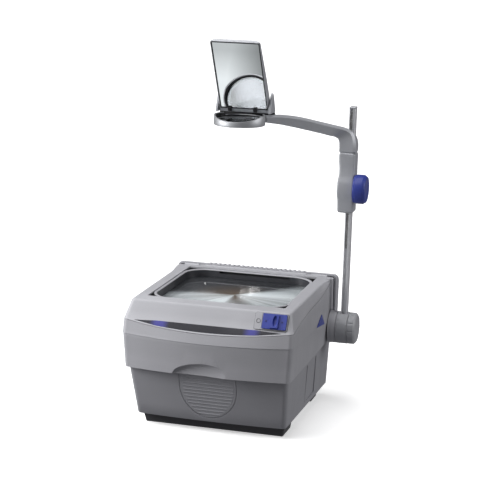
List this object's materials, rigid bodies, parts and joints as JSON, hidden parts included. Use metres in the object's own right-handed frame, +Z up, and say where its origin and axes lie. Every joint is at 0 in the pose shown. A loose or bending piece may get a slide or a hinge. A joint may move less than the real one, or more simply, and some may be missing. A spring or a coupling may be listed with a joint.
{
  "type": "overhead projector",
  "caption": "Overhead projector: grey box base with a hinged glass stage lid, a folding side mast, a focusing arm with a lens ring, and a tilting mirror above it.",
  "frame": {"origin": "middle of the whole object's footprint, at the height of the desk", "axes": "+X to the side that carries the mast, which is on the right from the front; +Y to the back; +Z up"},
  "size_m": [0.379, 0.39, 0.6948],
  "materials": {
    "shell_grey": "fine moulded grain, satin",
    "shell_dark": "fine moulded grain, satin",
    "skirt_charcoal": "moulded, matt",
    "trim_black": "moulded, matt",
    "badge_black": "moulded, satin, with two blue ends",
    "accent_blue": "moulded, satin",
    "head_grey": "satin silver-grey paint on plastic",
    "window_plastic": "moulded, matt",
    "silver_metal": "satin anodised",
    "bright_steel": "plain bright steel",
    "sheet_steel": "galvanised sheet",
    "pinion_brass": "machined",
    "ceramic_white": "unglazed ceramic",
    "clear_glass": "polished",
    "fresnel_acrylic": "fine concentric grooves",
    "lens_glass": "polished and coated",
    "mirror_silver": "front-silvered glass",
    "reflector_metal": "polished bowl"
  },
  "bodies": {
    "base": {"lower_tub": "shell_dark", "bottom_plate": "sheet_steel", "front_foot": "skirt_charcoal", "rear_foot_right": "skirt_charcoal", "rear_foot_left": "skirt_charcoal", "upper_housing": "shell_grey", "grip_plate": "shell_dark", "side_inlay_right": "accent_blue", "side_inlay_left": "accent_blue", "rear_cover": "shell_grey", "hinge_rail": "shell_grey", "lid_pin_left": "bright_steel", "lid_pin_right": "bright_steel", "mast_boss": "shell_grey", "pivot_bolt": "bright_steel", "lamp_tray": "sheet_steel", "lamp_house": "sheet_steel", "lamp_socket": "ceramic_white", "lamp": "clear_glass", "lamp_reflector": "reflector_metal", "condenser_frame": "sheet_steel", "heat_glass": "clear_glass", "condenser_lens": "lens_glass", "thermal_switch": "bright_steel", "terminal_block": "trim_black", "power_inlet": "trim_black", "fan_frame": "trim_black", "fan_motor": "bright_steel"},
    "stage_lid": {"stage_lid": "shell_grey", "window_frame": "window_plastic", "stage_glass": "clear_glass", "fresnel_lens": "fresnel_acrylic", "badge_strip": "badge_black", "switch_surround": "shell_grey"},
    "lamp_switch": {"switch_slider": "accent_blue"},
    "mast": {"mast": "silver_metal", "mast_cap": "trim_black", "focus_rack": "bright_steel", "pivot_hub": "shell_grey"},
    "clamp_knob": {"clamp_knob": "shell_grey"},
    "head_carriage": {"carriage": "head_grey", "arm": "head_grey", "head_ring": "silver_metal", "lens_lower": "lens_glass", "lens_spacer": "trim_black", "lens_upper": "lens_glass", "hinge_cheek_right": "head_grey", "hinge_cheek_left": "head_grey", "hinge_bar": "head_grey", "mirror_pin": "bright_steel"},
    "mirror": {"mirror_shell": "head_grey", "mirror_glass": "mirror_silver", "mirror_clip_left": "trim_black", "mirror_clip_right": "trim_black"},
    "focus_drive": {"focus_knob": "accent_blue", "focus_shaft": "bright_steel", "focus_pinion": "pinion_brass"},
    "fan": {"fan_rotor": "trim_black"}
  },
  "joints": [
    {"name": "lid_hinge", "type": "hinge", "parent": "base", "child": "stage_lid", "pos_m": [-0.0295, 0.1475, 0.2365], "axis": [-1, 0, 0], "range_deg": [0, 45]},
    {"name": "lamp_switch_slide", "type": "slide", "parent": "stage_lid", "child": "lamp_switch", "axis": [1, 0, 0], "range_m": [-0.013, 0]},
    {"name": "mast_fold", "type": "hinge", "parent": "base", "child": "mast", "pos_m": [0.1543, 0.126, 0.147], "axis": [-1, 0, 0], "range_deg": [-75, 0]},
    {"name": "clamp_knob_turn", "type": "hinge", "parent": "base", "child": "clamp_knob", "pos_m": [0.1722, 0.126, 0.147], "axis": [1, 0, 0], "range_deg": [0, 270]},
    {"name": "focus_slide", "type": "slide", "parent": "mast", "child": "head_carriage", "axis": [0, 0, 1], "range_m": [-0.05026, 0.02932]},
    {"name": "focus_knob_turn", "type": "hinge", "parent": "head_carriage", "child": "focus_drive", "pos_m": [0.1775, 0.1106, 0.4185], "axis": [1, 0, 0], "range_deg": [-210.5, 360.5]},
    {"name": "mirror_tilt", "type": "hinge", "parent": "head_carriage", "child": "mirror", "pos_m": [-0.0295, 0.038, 0.5635], "axis": [1, 0, 0], "range_deg": [-40, 50]},
    {"name": "fan_spin", "type": "hinge", "parent": "base", "child": "fan", "pos_m": [-0.0295, 0.123, 0.106], "axis": [0, 1, 0], "continuous": true}
  ],
  "couplings": [
    {"joint": "focus_knob_turn", "follows": "focus_slide", "rad_per_m": -125}
  ]
}
